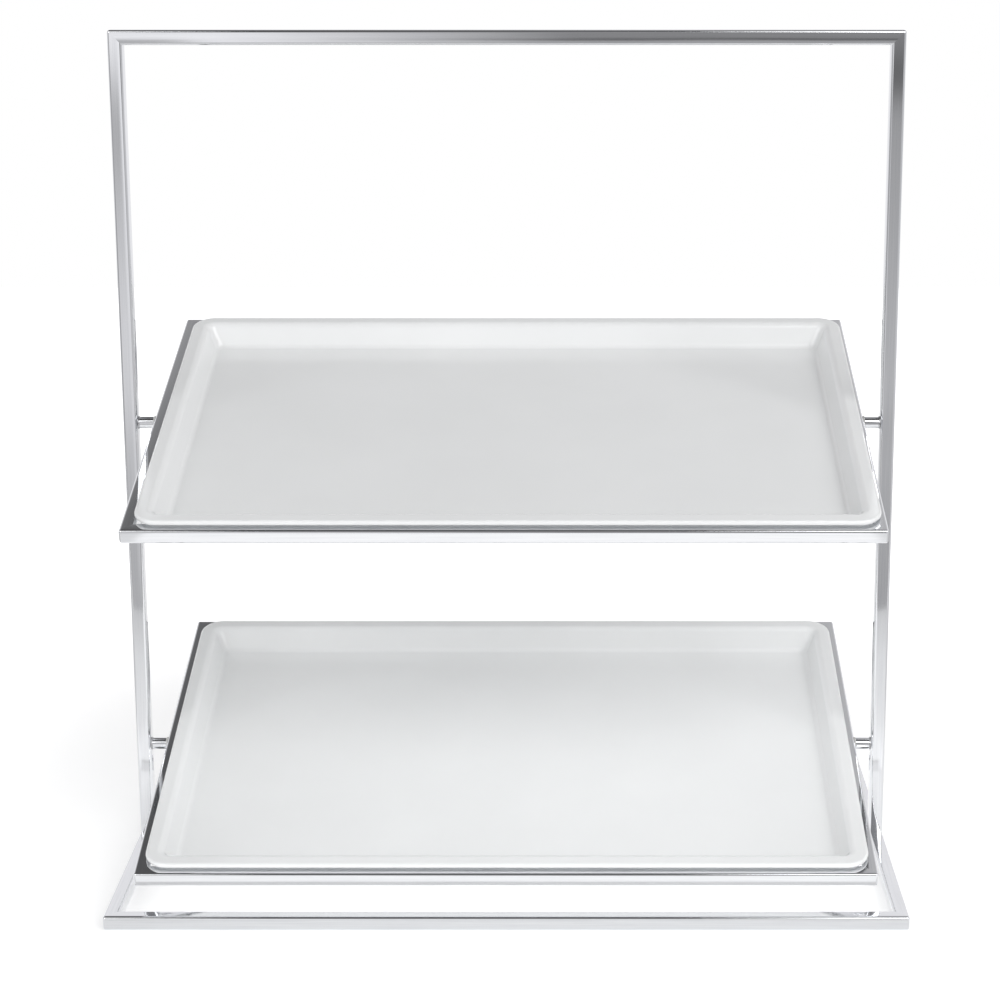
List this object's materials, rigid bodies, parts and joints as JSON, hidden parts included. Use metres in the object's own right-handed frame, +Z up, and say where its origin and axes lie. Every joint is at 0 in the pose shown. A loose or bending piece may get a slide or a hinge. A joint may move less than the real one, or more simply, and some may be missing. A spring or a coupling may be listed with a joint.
{
  "type": "tiered bakery stand",
  "caption": "Chromed square-tube display stand: a loop base and inverted-U upright carry tilting tier frames, each holding a lift-out white tray for bakery and buffet food.",
  "frame": {"origin": "centre of the base's underside, where the stand rests", "axes": "+Z up, +X to the viewer's right, the front and the low edge of the tiers towards -Y"},
  "size_m": [0.59, 0.3274, 0.642],
  "materials": {
    "chrome_tube": "mirror chrome plate",
    "chrome_spacer": "turned, chrome plated",
    "white_melamine": "gloss moulded",
    "screw_steel": "satin",
    "plain_steel": "zinc plated",
    "friction_nylon": "matte"
  },
  "bodies": {
    "stand": {"base_front_rail": "chrome_tube", "base_rear_rail": "chrome_tube", "base_left_rail": "chrome_tube", "base_right_rail": "chrome_tube", "top_rail": "chrome_tube", "left_post": "chrome_tube", "left_post_plug": "plain_steel", "left_post_screw": "screw_steel", "right_post": "chrome_tube", "right_post_plug": "plain_steel", "right_post_screw": "screw_steel", "upper_left_pivot_screw": "screw_steel", "upper_left_pivot_washer": "friction_nylon", "upper_left_pivot_spacer": "chrome_spacer", "upper_left_pivot_insert": "plain_steel", "upper_right_pivot_screw": "screw_steel", "upper_right_pivot_washer": "friction_nylon", "upper_right_pivot_spacer": "chrome_spacer", "upper_right_pivot_insert": "plain_steel", "lower_left_pivot_screw": "screw_steel", "lower_left_pivot_washer": "friction_nylon", "lower_left_pivot_spacer": "chrome_spacer", "lower_left_pivot_insert": "plain_steel", "lower_right_pivot_screw": "screw_steel", "lower_right_pivot_washer": "friction_nylon", "lower_right_pivot_spacer": "chrome_spacer", "lower_right_pivot_insert": "plain_steel"},
    "upper_tier": {"upper_tier_front_bar": "chrome_tube", "upper_tier_rear_bar": "chrome_tube", "upper_tier_left_bar": "chrome_tube", "upper_tier_right_bar": "chrome_tube", "upper_left_pivot_bush": "plain_steel", "upper_right_pivot_bush": "plain_steel"},
    "upper_tray": {"upper_tray": "white_melamine"},
    "lower_tier": {"lower_tier_front_bar": "chrome_tube", "lower_tier_rear_bar": "chrome_tube", "lower_tier_left_bar": "chrome_tube", "lower_tier_right_bar": "chrome_tube", "lower_left_pivot_bush": "plain_steel", "lower_right_pivot_bush": "plain_steel"},
    "lower_tray": {"lower_tray": "white_melamine"}
  },
  "joints": [
    {"name": "upper_tier_tilt", "type": "hinge", "parent": "stand", "child": "upper_tier", "pos_m": [0, 0, 0.344], "axis": [1, 0, 0], "range_deg": [-35.6, 4.4]},
    {"name": "upper_tray_lift", "type": "slide", "parent": "upper_tier", "child": "upper_tray", "axis": [0, -0.2689, 0.9632], "range_m": [0, 0.06]},
    {"name": "lower_tier_tilt", "type": "hinge", "parent": "stand", "child": "lower_tier", "pos_m": [0, 0, 0.0835], "axis": [1, 0, 0], "range_deg": [-35, 5]},
    {"name": "lower_tray_lift", "type": "slide", "parent": "lower_tier", "child": "lower_tray", "axis": [0, -0.2588, 0.9659], "range_m": [0, 0.06]}
  ]
}
